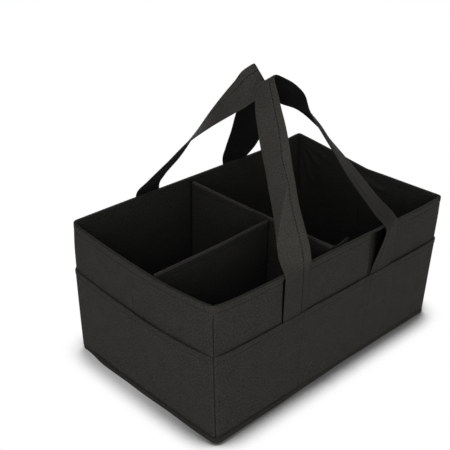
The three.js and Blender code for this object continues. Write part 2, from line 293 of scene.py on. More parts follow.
def make_piece(name, shape, materials, body, replaces=()):
    """A smooth mesh object with its cloth coordinates, riding on a body."""
    points, faces, cloth, side = shape
    mesh = bpy.data.meshes.new(name)
    mesh.from_pydata((points * MM).tolist(), [], [tuple(map(int, f)) for f in faces])
    layer = mesh.uv_layers.new(name="cloth")
    corner = np.zeros(len(mesh.loops), np.int32)
    mesh.loops.foreach_get("vertex_index", corner)
    layer.data.foreach_set("uv", (cloth[corner] * MM).astype(np.float32).ravel())
    for material in materials:
        mesh.materials.append(material)
    mesh.polygons.foreach_set("material_index", np.minimum(side, len(materials) - 1).astype(np.int32))
    shaped = bmesh.new()
    shaped.from_mesh(mesh)
    bmesh.ops.recalc_face_normals(shaped, faces=shaped.faces)
    shaped.to_mesh(mesh)
    shaped.free()
    mesh.shade_smooth()
    mesh.set_sharp_from_angle(angle=math.radians(52))
    piece = bpy.data.objects.new(name, mesh)
    bpy.context.scene.collection.objects.link(piece)
    if body:
        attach(piece, body)
    if replaces:
        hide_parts(*replaces)
    return piece


# Materials
def new_material(name):
    material = bpy.data.materials.new(name)
    material.use_nodes = True
    tree = material.node_tree
    return material, tree, tree.nodes["Principled BSDF"]


def feed(tree, socket, value):
    """Gives an input a value or links it to an output."""
    if isinstance(value, bpy.types.NodeSocket):
        tree.links.new(value, socket)
    else:
        socket.default_value = value


def feed_all(tree, made, inputs):
    for key, value in inputs.items():
        feed(tree, made.inputs[key], value)


def node(tree, kind, **inputs):
    made = tree.nodes.new(kind)
    feed_all(tree, made, inputs)
    return made


def maths(tree, operation, a, b=0.0):
    made = tree.nodes.new("ShaderNodeMath")
    made.operation = operation
    for socket, value in zip(made.inputs, (a, b)):
        feed(tree, socket, value)
    return made.outputs[0]


def scaled(tree, vector, scale):
    made = tree.nodes.new("ShaderNodeVectorMath")
    made.operation = "SCALE"
    feed(tree, made.inputs[0], vector)
    feed(tree, made.inputs["Scale"], scale)
    return made.outputs[0]


def split(tree, vector):
    return node(tree, "ShaderNodeSeparateXYZ", Vector=vector).outputs


def cloth_coordinates(tree, scale):
    coordinates = tree.nodes.new("ShaderNodeUVMap")
    coordinates.uv_map = "cloth"
    return scaled(tree, coordinates.outputs[0], scale)


def noise_value(tree, scale, detail, roughness=0.55):
    made = node(tree, "ShaderNodeTexNoise", Vector=cloth_coordinates(tree, scale), Scale=1.0,
                Detail=detail, Roughness=roughness)
    return made.outputs[0]


def mapped(tree, value, low, high, to_low, to_high):
    made = tree.nodes.new("ShaderNodeMapRange")
    tree.links.new(value, made.inputs["Value"])
    for key, number in zip(("From Min", "From Max", "To Min", "To Max"), (low, high, to_low, to_high)):
        made.inputs[key].default_value = number
    return made.outputs[0]


def toned(colour, share):
    return [c * share for c in colour]


def shaded(tree, factor, colour, low, high):
    """A colour between two shares of itself."""
    made = tree.nodes.new("ShaderNodeMix")
    made.data_type = "RGBA"
    tree.links.new(factor, made.inputs[0])
    for socket, share in zip(made.inputs[6:8], (low, high)):
        socket.default_value = (*toned(colour, share), 1)
    return made.outputs[2]


DOT_PITCH = 2.4
DOT_DEPTH = 0.12
FIBRES_PER_M = 520.0
CLOUDS_PER_M = 55.0


def dimples(tree, pitch):
    """A lattice of pressed dots on the cloth, from -1 to 1."""
    turns = split(tree, cloth_coordinates(tree, 2 * math.pi / (pitch * MM)))
    return maths(tree, "MULTIPLY", maths(tree, "SINE", turns[0]), maths(tree, "SINE", turns[1]))


def nonwoven(name, colour, contrast=0.26, gloss=0.08, sheen=0.015, dots=True, painted_light_bands=()):
    """Point-bonded nonwoven: pressed dots, tangled fibres, faint cloudiness and a soft sheen.

    A band paints light or shade into the tone along a cloth axis: axis, start, end, share before it and
    share after it.
    """
    material, tree, shader = new_material(name)
    fibre = noise_value(tree, FIBRES_PER_M, 3.0, 0.7)
    cloud = noise_value(tree, CLOUDS_PER_M, 3.0)
    dot = dimples(tree, DOT_PITCH) if dots else noise_value(tree, 2 * FIBRES_PER_M, 1.0)
    tone = maths(tree, "ADD", mapped(tree, fibre, 0.40, 0.60, -0.8, 0.8),
                 mapped(tree, cloud, 0.35, 0.65, -0.13, 0.13))
    tone = maths(tree, "ADD", tone, mapped(tree, dot, -1.0, 1.0, -0.4, 0.4))
    factor = mapped(tree, tone, -1.0, 1.0, 0.0, 1.0)
    base = shaded(tree, factor, colour, 1 - contrast * 2, 1 + contrast * 2)
    # Painted light and shade: each band scales the colour along the cloth
    for axis, *limits in painted_light_bands:
        spot = split(tree, cloth_coordinates(tree, 1 / MM))[axis]
        base = scaled(tree, base, mapped(tree, spot, *limits))
    fibre_bump = node(tree, "ShaderNodeBump", Strength=0.55, Distance=0.12 * MM, Height=fibre)
    dot_bump = node(tree, "ShaderNodeBump", Strength=0.7, Distance=DOT_DEPTH * MM, Height=dot,
                    Normal=fibre_bump.outputs[0])
    feed_all(tree, shader, {
        "Base Color": base,
        "Roughness": mapped(tree, fibre, 0.25, 0.75, 0.78, 0.96),
        "Specular IOR Level": gloss,
        "Sheen Weight": sheen,
        "Sheen Roughness": 0.45,
        "Normal": dot_bump.outputs[0],
    })
    return material


def tape_pile(name, colour, pitch, depth):
    """Hook or loop pile: a dense field of small tufts on a woven ground."""
    material, tree, shader = new_material(name)
    tuft = node(tree, "ShaderNodeTexVoronoi", Vector=cloth_coordinates(tree, 1 / (pitch * MM)), Scale=1.0)
    fuzz = noise_value(tree, 2500.0, 4.0, 0.7)
    height = maths(tree, "SUBTRACT", fuzz, tuft.outputs["Distance"])
    base = shaded(tree, mapped(tree, height, -0.5, 0.5, 0.0, 1.0), colour, 0.5, 1.6)
    bumped = node(tree, "ShaderNodeBump", Strength=0.9, Distance=depth * MM, Height=height)
    feed_all(tree, shader, {
        "Base Color": base,
        "Roughness": mapped(tree, fuzz, 0.2, 0.8, 0.7, 1.0),
        "Sheen Weight": 0.05,
        "Specular IOR Level": 0.1,
        "Normal": bumped.outputs[0],
    })
    return material


def thread_finish(name, colour):
    """Twisted sewing thread."""
    material, tree, shader = new_material(name)
    ply = noise_value(tree, 1500.0, 2.0)
    feed_all(tree, shader, {
        "Base Color": shaded(tree, ply, colour, 0.6, 1.5),
        "Roughness": mapped(tree, ply, 0.3, 0.7, 0.5, 0.75),
        "Specular IOR Level": 0.05,
    })
    return material


OUTER = (0.0300, 0.0289, 0.0259)
LINING = (0.0148, 0.0147, 0.0133)
# Painted shadow: a near-black tone, 0.16 of the lining, for dark sheets and faces put where shade falls
PAINTED_SHADOW = toned(LINING, 0.16)
outer_cloth = nonwoven("outer_cloth", OUTER)
lining_cloth = nonwoven("lining_cloth", LINING)
# Front strap cloth: 1.24 times the outer cloth's tone as painted light; its bands bring it back near the
# outer cloth's tone on the sewn left end, raise it 1.14 times above as painted light, and lower it to 0.6
# from the crest along the right leg as painted shade
painted_light_strap_cloth = nonwoven("painted_light_strap_cloth", toned(OUTER, 1.24), contrast=0.17,
                       painted_light_bands=((1, 98, 118, 0.82, 1.14), (1, 320, 430, 1.0, 0.60)))
# Rear strap cloth: a lighter copy of the strap cloth, 1.45 times the outer cloth's tone, painted light on
# this strap
painted_light_rear_strap_cloth = nonwoven("painted_light_rear_strap_cloth", toned(OUTER, 1.45), contrast=0.17)
# Strap back faces: darkened to 0.36 of the lining, painted shade for the straps' undersides
painted_shade_strap_back = nonwoven("painted_shade_strap_back", toned(LINING, 0.36), gloss=0.04)
# Painted shadow cloths; the second is lighter towards one edge, up to 11 times the dark tone, and fades
# into it over 12 mm, a painted soft shadow edge
painted_shadow_cloth = nonwoven("painted_shadow_cloth", PAINTED_SHADOW, gloss=0.02, sheen=0.0)
painted_shadow_fade = nonwoven("painted_shadow_fade", PAINTED_SHADOW, gloss=0.02, sheen=0.0, painted_light_bands=((0, -21, -9, 11.0, 1.0),))
# Binding tape: 0.68 of the outer cloth's tone, partly its own darker tape and partly painted shade for its
# downward-facing flange
binding_cloth = nonwoven("binding_cloth", toned(OUTER, 0.68), dots=False)
thread = thread_finish("thread", (0.004, 0.004, 0.004))
soft_thread = thread_finish("soft_thread", (0.013, 0.0125, 0.0115))
seam_thread = thread_finish("seam_thread", (0.024, 0.023, 0.021))
hook_pile = tape_pile("hook_pile", (0.010, 0.010, 0.010), 1.1, 0.35)
loop_pile = tape_pile("loop_pile", (0.013, 0.013, 0.013), 0.7, 0.30)

STITCH = 2.7
STITCH_PITCH = 3.9
THREAD = 0.42
# Rings of a stitch: share of its length, lift and share of its thickness
STITCH_RINGS = ((0.0, -0.25, 0.6), (0.22, 0.12, 1.0), (0.78, 0.12, 1.0), (1.0, -0.25, 0.6))


def sampled(values, length, t):
    """A row's points or normals at lengths along it."""
    return np.stack([np.interp(t, length, values[:, k]) for k in range(3)], -1)


def stitches(name, rows, body, finish):
    """Short threads along point rows with normals; their ends dive into the cloth."""
    starts, ends, normals, kinds = [], [], [], []
    for points, normal, *kind in rows:
        points, normal = np.asarray(points), np.asarray(normal)
        length = lengths(points)
        begin = np.arange(0.6, length[-1] - STITCH, STITCH_PITCH)
        starts.append(sampled(points, length, begin))
        ends.append(sampled(points, length, begin + STITCH))
        normals.append(sampled(normal, length, begin + STITCH / 2))
        kinds.append(np.full(len(begin), kind[0] if kind else 0))
    start, end, up = np.concatenate(starts), np.concatenate(ends), unit(np.concatenate(normals))
    side = np.cross(unit(end - start), up)
    turns = np.linspace(0, 2 * math.pi, 5)[:-1]
    rings = []
    for t, lift, size in STITCH_RINGS:
        centre = start + t * (end - start) + lift * up
        circle = [centre + THREAD * size * (math.cos(a) * side + math.sin(a) * up) for a in turns]
        rings.append(np.stack(circle, 1))
    points = np.stack(rings, 1).reshape(-1, 3)
    sides, levels = len(turns), len(rings)
    faces = []
    for k in range(len(start)):
        base = k * sides * levels
        for level in range(levels - 1):
            for j in range(sides):
                a = base + level * sides + j
                b = base + level * sides + (j + 1) % sides
                faces.append((a, b, b + sides, a + sides))
        faces.append(tuple(base + j for j in reversed(range(sides))))
        faces.append(tuple(base + (levels - 1) * sides + j for j in range(sides)))
    cloth = np.stack([points[:, 0] + points[:, 1], points[:, 2]], -1)
    kind = np.repeat(np.concatenate(kinds), len(faces) // len(start))
    return make_piece(name, (points, faces, cloth, kind), finish, body)


def outward(side, share):
    """Outward direction of a side at a share of its half length, in plan."""
    near = place(ring(side, share, 0.0, HEIGHT / 2))
    far = place(ring(side, share, 1.0, HEIGHT / 2))
    return far - near


# Walls
# Shares of a side's half length along its hem stitches
HEM_SHARES = np.linspace(-0.985, 0.985, 200)


def crown(z, top, half):
    """Half thickness share of a folded hem that rounds over at its top."""
    t = np.clip((z - (top - half)) / half, 0, 1)
    return np.sqrt(np.clip(1 - t ** 2, 0.015, 1))


def hem_rows(foot, top, hem, half, step):
    """Heights: even steps, then closer at the hem's stitch groove and over its crown."""
    low = np.linspace(foot, top - hem - 3, max(2, int((top - hem - 3 - foot) / step) + 1))
    groove = top - hem + np.array([-2.0, -1.2, -0.6, 0.0, 0.6, 1.2, 2.0])
    over = top - half * (1 - np.sin(np.linspace(0, math.pi / 2, 7)))
    return np.concatenate([low, groove, over])


# Folds of the outer cloth and of the lining: along, z, along, z, height and width
WALL_FOLDS = {
    "front": [(-60, 168, -30, 150, 0.5, 6)],
    "rear": [(-40, 150, 30, 170, 0.4, 7)],
    "left": [(-80, 162, -51, 143, 0.9, 3.5), (-5.5, 138, -5.5, 104, -4.5, 0.36),
             (-4, 160, -6, 126, 0.5, 2.0), (60, 160, 95, 140, 0.5, 5)],
    "right": [(-90, 150, -40, 120, 0.6, 7)],
}
WALL_SEAMS = {"front": (), "rear": (), "left": (-5.5,), "right": (1.5,)}
LINING_FOLDS = {
    "right": [(106, 172, 72, 147, 3.8, 3.2), (108, 166, 88, 118, 3.4, 3.4), (104, 174, 56, 164, 3.4, 3.0),
              (4, 167, -44, 158, 5.0, 3.0), (1.5, 140, 1.5, 60, -2.4, 0.9), (110, 150, 106, 96, 2.4, 3.0)],
    "rear": [(150, 160, 178, 120, 0.9, 6), (-120, 165, -60, 150, 0.6, 8), (20, 120, 60, 150, 0.6, 8)],
    "left": [(-60, 150, -20, 120, 0.6, 7)],
    "front": [(-100, 150, -40, 165, 0.6, 7)],
}

# Depth of the sewn line at each side's two ends, deepest at the front left corner
SEAM_DEPTH = {"front": (2.6, 0.8), "left": (0.8, 2.6), "rear": (0.8, 0.8), "right": (0.8, 0.8)}


def corner_seam(side, share, seam, z):
    """Depth of the sewn line down a corner, below the rim's hem."""
    return np.where(share < 0, *SEAM_DEPTH[side]) * bump(seam, 0.55) * smooth((HEIGHT - 10 - z) / 5)


def wall_faces(side, share, z):
    """Stand-offs of a wall's outer and inner face."""
    reach = side_reach(side)
    seam = (1 - np.abs(share)) * reach
    along = share * reach
    quiet = smooth(seam / 25) * smooth((HEIGHT - z) / 22 + 0.15) * smooth(z / 40)
    outer_wave = 0.7 * quiet * ripple(side, share, z, 46.0, 1.3)
    outer_wave = outer_wave + creases(WALL_FOLDS[side], along, z) * quiet
    inner_wave = 0.8 * quiet * ripple(side, share, z, 38.0, 7.7)
    inner_wave = inner_wave + creases(LINING_FOLDS[side], along, z) * smooth(seam / 6)
    groove = GROOVE * bump(z - (HEIGHT - HEM), 0.6)
    half = WALL / 2 - RIM_ROUND + RIM_ROUND * crown(z, HEIGHT, RIM_ROUND)
    half = half + 0.2 * smooth((z - HEIGHT + HEM) / 2)
    pucker = 0.16 * np.sin(along / 3.1) * bump(z - (HEIGHT - HEM), 3.0) * smooth(seam / 8)
    outer = -WALL / 2 + half - groove + outer_wave + pucker - corner_seam(side, share, seam, z)
    inner = -WALL / 2 - half + groove - inner_wave - pucker + 3.4 * bump(seam, 1.2)
    return outer, np.minimum(inner, outer - 0.3)


# Which cloth shows on the top of a side's rim: 0 for the outer one, 1 for the lining
RIM_TOP = {"front": 1, "left": 1, "rear": 0, "right": 0}


def turned_hem(shape, z, line, material):
    """The sheet with the faces above a height given another of its materials."""
    points, faces, cloth, sides = shape
    level = np.concatenate([z.ravel(), z.ravel()])
    return points, faces, cloth, np.where(level[faces].min(axis=1) >= line - 0.01, material, sides)


def make_wall(side, nodes):
    step = 2.6 if side == "right" else 5.0
    share, z = np.meshgrid(columns(side, step, WALL_SEAMS[side]),
                           hem_rows(WALL_FOOT, HEIGHT, HEM, RIM_ROUND, step))
    points, faces, cloth, sides = side_sheet(side, share, z, *wall_faces(side, share, z))
    over = (faces.max(axis=1) >= z.size) & (faces.min(axis=1) < z.size)
    shape = points, faces, cloth, np.where(over, RIM_TOP[side], sides)
    wall = make_piece(f"{side}_wall", shape, [outer_cloth, lining_cloth], "caddy", nodes)
    z = np.full_like(HEM_SHARES, HEIGHT - HEM)
    outer, inner = wall_faces(side, HEM_SHARES, z)
    out = outward(side, HEM_SHARES)
    rows = [(place(ring(side, HEM_SHARES, outer + 0.1, z)), out),
            (place(ring(side, HEM_SHARES, inner - 0.1, z)), -out)]
    thread_rows = stitches(f"{side}_rim_stitches", rows, "caddy", [soft_thread])


# Pockets
POCKET_SEAMS = {"front": (-60.0, 62.0), "rear": (-62.0, 60.0), "left": (), "right": ()}
# Where the strap ends run down behind the pockets, from and to along each side
STRAP_SPANS = {
    "front": ((-95.0, -51.0), (58.0, 103.0)),
    "rear": ((-85.0, -43.0), (59.0, 101.0)),
    "left": (),
    "right": (),
}
STRAP_TAIL = 72.0
MOUTH_ROUND = 0.45
POCKET_FOLDS = {
    "front": [(-48, 11, -33, 38, 2.3, 2.9), (-21, 10, 2, 29, 1.6, 3.2), (2, 29, 16, 38, 0.9, 3.4),
              (13, 12, 29, 25, 1.4, 3.0), (29, 9, 39, 30, 0.7, 3.2), (-99, 9, -92, 19, 1.2, 2.6),
              (-64, 9, -62, 44, 0.7, 2.4), (100, 9, 110, 20, 0.6, 3.0), (130, 10, 118, 36, 0.6, 4.0),
              (-150, 10, -135, 32, 0.5, 4.0)],
    "rear": [(-40, 12, -26, 38, 0.9, 3.2), (10, 12, 24, 34, 0.8, 3.0), (80, 10, 92, 30, 0.7, 3.4),
             (-110, 10, -98, 26, 0.6, 3.4)],
    "left": [(8, 10, 30, 46, 1.9, 2.9), (-60, 24, -34, 14, 0.9, 3.0), (68, 72, 88, 66, 0.5, 4.0),
             (-40, 10, -28, 30, 0.9, 3.0), (-5.5, 100, -5.5, 14, -0.35, 1.4)],
    "right": [(-30, 10, -18, 30, 0.8, 3.0), (40, 12, 52, 36, 0.7, 3.4), (70, 60, 90, 50, 0.5, 5.0)],
}


def pocket_faces(side, share, z):
    """Stand-offs of a pocket panel's outer and inner face from the wall behind it."""
    reach = side_reach(side)
    along = share * reach
    corner = (1 - np.abs(share)) * reach
    rise = np.clip((z - POCKET_FOOT) / (POCKET_MOUTH - POCKET_FOOT), 0, 1)
    lines = np.array([-reach, *POCKET_SEAMS[side], reach])
    bay = np.clip(np.searchsorted(lines, along) - 1, 0, len(lines) - 2)
    across = (along - lines[bay]) / (lines[bay + 1] - lines[bay])
    slack = np.sin(np.pi * np.clip(across, 0, 1)) ** 0.8
    loose = 0.25 + 0.75 * smooth(corner / 22)
    off = 0.15 + loose * (0.4 * smooth((z - 8.5) / 5) + 0.55 * smooth((rise - 0.8) / 0.2))
    off = off + (0.3 + 1.1 * rise ** 1.5) * slack * smooth((z - 7) / 8)
    for low, high in STRAP_SPANS[side]:
        over = smooth((along - low + 9) / 9) * smooth((high + 9 - along) / 9)
        over = over * smooth((z - STRAP_TAIL + 8) / 8)
        off = off + (np.maximum(off, 2.45) - off) * over
    wave = smooth(corner / 18) * (0.35 + 0.65 * rise)
    off = off + 0.7 * wave * slack * ripple(side, share, z, 30.0, 4.1)
    off = off + 1.6 * creases(POCKET_FOLDS[side], along, z) * smooth(corner / 8)
    seam = sum(bump(along - line, 0.9) for line in POCKET_SEAMS[side])
    mouth_stitch = bump(z - (POCKET_MOUTH - POCKET_HEM), 0.6)
    hem = smooth((z - POCKET_MOUTH + POCKET_HEM) / 1.5)
    thick = (CLOTH + 0.35 * hem) * crown(z, POCKET_MOUTH, MOUTH_ROUND)
    outer = off + thick - 0.3 * mouth_stitch - 0.3 * seam - 2.2 * bump(corner, 0.55)
    return outer, np.minimum(off, outer - 0.25)


def make_pocket(side):
    step = 2.5 if side == "front" else 3.2
    share, z = np.meshgrid(columns(side, step, POCKET_SEAMS[side]),
                           hem_rows(POCKET_FOOT - 2.2, POCKET_MOUTH, POCKET_HEM, MOUTH_ROUND, step))
    shape = side_sheet(side, share, z, *pocket_faces(side, share, z))
    pocket = make_piece(f"{side}_pocket_panel", shape, [outer_cloth], "caddy", [f"{side}_pocket"])

    def stitch_row(share, z, kind):
        off = pocket_faces(side, share, z)[0] + 0.1
        return place(ring(side, share, off, z)), outward(side, share), kind

    rows = [stitch_row(HEM_SHARES, np.full_like(HEM_SHARES, POCKET_MOUTH - POCKET_HEM), 0)]
    z = np.linspace(POCKET_MOUTH - 2, POCKET_FOOT + 1, 60)
    for line in POCKET_SEAMS[side]:
        rows.append(stitch_row(np.full_like(z, line / side_reach(side)), z, 1))
    thread_rows = stitches(f"{side}_pocket_stitches", rows, "caddy", [soft_thread, seam_thread])


LONG_WALL = ("wall_cover", "wall_board")
END_WALL = ("wall_cover", "wall_front_board", "wall_rear_board")
for side, parts in (("front", LONG_WALL), ("rear", LONG_WALL), ("left", END_WALL), ("right", END_WALL)):
    make_wall(side, [f"{side}_{part}" for part in parts])
    make_pocket(side)


# Base, floor and bottom binding
# The binding's outer and inner profile: stand-off and height
BINDING_OUTER = ((1.2, 7.9), (2.0, 8.1), (3.2, 7.5), (4.3, 6.0), (4.7, 4.2), (4.3, 2.4), (3.2, 1.0),
                 (1.4, 0.4), (-1.2, 0.3))
BINDING_INNER = ((1.15, 7.3), (1.7, 7.3), (2.5, 6.8), (3.4, 5.6), (3.8, 4.2), (3.4, 2.9), (2.6, 1.8),
                 (1.2, 1.25), (-1.1, 1.15))


def ring_grid(profile, step):
    """Points round the whole base, side by side, for each stand-off and height of a profile."""
    sides = [(side, columns(side, step)) for side in ("front", "right", "rear", "left")]
    rows = [np.concatenate([ring(side, share, off, z) for side, share in sides]) for off, z in profile]
    return place(np.stack(rows))


def make_binding():
    """The binding, which rolls out fullest at the front left corner and lies flatter away from it."""
    front, back = ring_grid(BINDING_OUTER, 4.0), ring_grid(BINDING_INNER, 4.0)
    belt = front[len(BINDING_OUTER) // 2]
    run = lengths(belt)
    from_corner = np.hypot(belt[:, 0] + HALF_W, belt[:, 1] + HALF_D)
    on_left = smooth((30 - HALF_W - belt[:, 0]) / 20)
    far = smooth((from_corner - 40) / 200) * (1 - on_left) + smooth((from_corner - 190) / 45) * on_left
    wave = 0.2 + 0.35 * np.sin(run / 13.0) - 3.6 * far
    away = front - front.mean(axis=1, keepdims=True)
    away[..., 2] = 0
    bulge = np.sin(np.linspace(0, math.pi, len(BINDING_OUTER)))[:, None] ** 0.7 * wave[None, :]
    roll = bulge[..., None] * unit(away)
    front, back = front + roll, back + roll
    binding = make_piece("base_binding", thick_sheet(front, back), [binding_cloth], "caddy",
                         ["bottom_binding"])


def flat_grid(x_low, x_high, y_low, y_high, step):
    x = np.linspace(x_low, x_high, int((x_high - x_low) / step) + 1)
    y = np.linspace(y_low, y_high, int((y_high - y_low) / step) + 1)
    return np.meshgrid(x, y)


def make_base():
    edge = CORNER_LOW * (1 - math.sqrt(0.5))
    x, y = flat_grid(-HALF_W + 1, HALF_W - 1, -HALF_D + 1, HALF_D - 1, 12.0)
    near = smooth((np.abs(x) - HALF_W + 14) / 13) * smooth((np.abs(y) - HALF_D + 14) / 13)
    x, y = x - np.sign(x) * edge * near, y - np.sign(y) * edge * near
    low, high = place(np.stack([x, y, 0 * x], -1)), place(np.stack([x, y, 0 * x + CLOTH], -1))
    base = make_piece("base_cloth", thick_sheet(low, high), [outer_cloth], "caddy", ["base_panel"])
    reach_x, reach_y = node_box("floor_lining")[1][:2]
    x, y = flat_grid(-reach_x, reach_x, -reach_y, reach_y, 8.0)
    quiet = smooth((reach_x - np.abs(x)) / 30) * smooth((reach_y - np.abs(y)) / 30)
    top = LINING_TOP - 0.25 + 0.2 * uneven(x, y, 60.0, 2.2) * quiet
    front, back = np.stack([x, y, top], -1), np.stack([x, y, top - CLOTH], -1)
    floor_cloth = make_piece("floor_cloth", thick_sheet(front, back), [lining_cloth], "caddy",
                             ["floor_lining", "base_board"])


make_binding()
make_base()


# Straps
def spline(knots, values, t):
    """Smooth curve through values at knots, sampled at t."""
    slope = np.gradient(values, knots, axis=0)
    i = np.clip(np.searchsorted(knots, t, side="right") - 1, 0, len(knots) - 2)
    span = (knots[i + 1] - knots[i])[:, None]
    f = (t - knots[i])[:, None] / span
    return ((1 + 2 * f) * (1 - f) ** 2 * values[i] + f * (1 - f) ** 2 * span * slope[i]
            + f * f * (3 - 2 * f) * values[i + 1] + f * f * (f - 1) * span * slope[i + 1])


# Each station of a loop: share of its half spread, share of its reach, turn in degrees and bow out of
# its plane
FRONT_LOOP = [(-1.09, 0.03, 12, 0), (-1.015, 0.12, 20, 0), (-0.94, 0.22, 31, 0), (-0.855, 0.35, 53, 0),
              (-0.725, 0.57, 73, 0), (-0.63, 0.735, 77, 0), (-0.54, 0.89, 86, 0), (-0.42, 1, 97, 0),
              (-0.3, 0.955, 103, 0), (-0.15, 0.905, 102, 0), (-0.03, 0.85, 92, 0), (0.06, 0.79, 68, 0),
              (0.26, 0.645, 48, 0), (0.4, 0.53, 40, 0), (0.585, 0.36, 30, 0), (0.84, 0.12, 24, 0)]
REAR_LOOP = [(-1.09, 0.03, 14, 0), (-0.995, 0.15, 27, 0), (-0.82, 0.34, 42, 0), (-0.595, 0.565, 58, 0),
             (-0.39, 0.795, 77, 0), (-0.235, 0.94, 90, 0), (-0.155, 1, 99, 0), (-0.03, 0.965, 94, 1),
             (0.09, 0.885, 77, 1.5), (0.23, 0.79, 62, 3), (0.43, 0.67, 44, 4), (0.66, 0.5, 24, 4),
             (0.83, 0.32, 13, 2), (1, 0.15, 8, 0), (1.02, 0.03, 2, 0)]

# Each station on the wall: outer edge's place along the wall and stand-off, inner edge's, and height
FRONT_LEFT_END = [(-92, 1.25, -53.5, 1.25, STRAP_TAIL), (-93, 1.25, -54, 1.25, 112),
                  (-95, 2.4, -55.5, 1.3, 150), (-97, 3.4, -57, 1.4, 172), (-97.6, 3.6, -57.6, 1.5, 178.5)]
FRONT_RIGHT_END = [(99.5, 1.4, 65, 12.6, 180), (102, 1.3, 65.2, 10.9, 168), (102, 1.25, 63.7, 7.9, 151),
                   (100.5, 1.25, 62.2, 4.2, 133), (99.5, 1.25, 61.5, 1.5, 117), (99.5, 1.25, 61, 1.25, 96),
                   (99.5, 1.25, 61, 1.25, STRAP_TAIL)]
REAR_LEFT_END = [(-83, 1.25, -44.5, 1.25, STRAP_TAIL), (-84, 1.25, -45.5, 1.25, 112),
                 (-87.5, 1.4, -48.5, 1.3, 150), (-90, 1.6, -50.5, 1.4, 175)]
REAR_RIGHT_END = [(99, 1.6, 60.5, 1.4, 175), (99, 1.4, 60.5, 1.3, 150), (99, 1.25, 60.5, 1.25, 112),
                  (99, 1.25, 60.5, 1.25, STRAP_TAIL)]

# Each loop's half spread, the middle of its feet along the wall, and its reach
FRONT_SPAN = (78, 9, 203)
REAR_SPAN = (72, 8, 193)
# The front strap's crease: from and to along it, and its bend; its curl: where, how far along and height
FRONT_CREASE = (135, 203, math.radians(75))
FRONT_CURL = (404, 32, 4.2)
NO_CREASE = NO_CURL = (0, 1, 0.0)
HANDLE_PARTING = 1.3
CREST_TILT = math.radians(40)
FOOT_RISE = 1.0


def loop_edges(stations, half, middle, reach):
    """Outer and inner edge points of a standing loop, in its own view."""
    foot = -(HALF_D + GAP + STRAP / 2)
    crest = -(HANDLE_PARTING + STRAP_WIDTH / 2 * math.cos(CREST_TILT))
    lean = math.asin((crest - foot) / reach)
    up = np.array([0, math.sin(lean), math.cos(lean)])
    out = np.array([0, -math.cos(lean), math.sin(lean)])
    stations = np.array(stations, float)
    start = np.array([middle, foot, HEIGHT + FOOT_RISE])
    centre = start + stations[:, :1] * half * np.array([1, 0, 0]) + stations[:, 1:2] * reach * up
    run = np.gradient(centre, axis=0)
    level = unit(np.cross(run, out))
    turn = np.radians(stations[:, 2:3])
    across = np.cos(turn) * level + np.sin(turn) * out
    centre = centre + stations[:, 3:] * out
    return centre - across * STRAP_WIDTH / 2, centre + across * STRAP_WIDTH / 2


def wall_edges(stations):
    outer, outer_off, inner, inner_off, z = np.array(stations, float).T
    return np.stack([outer, -HALF_D - outer_off, z], -1), np.stack([inner, -HALF_D - inner_off, z], -1)


STRAP_STITCH = 0.75
LEFT_PART = 0.56
FOLD_FADE = 70.0
# Shares across a strap where its columns stand, closer at its edges and its stitch line
STRAP_COLUMNS = np.concatenate([
    [0, 0.012, 0.035, 0.08], np.linspace(0.11, 0.70, 23), [0.72, 0.735, 0.75, 0.765, 0.78],
    [0.82, 0.87, 0.92, 0.965, 0.988, 1]])


def folded(v, line, angle):
    """Places along and over the chord of a band of width 1 that is bent by an angle at a line across it."""
    rest = 1 - line
    chord = np.sqrt(line ** 2 + rest ** 2 + 2 * line * rest * np.cos(angle))
    height = line * rest * np.sin(angle) / chord
    foot = line * (line + rest * np.cos(angle)) / chord
    share = np.where(v < line, v / np.maximum(line, 1e-6), (1 - v) / rest)
    along = np.where(v < line, share * foot, chord - (chord - foot) * share)
    return along - chord / 2, share * height


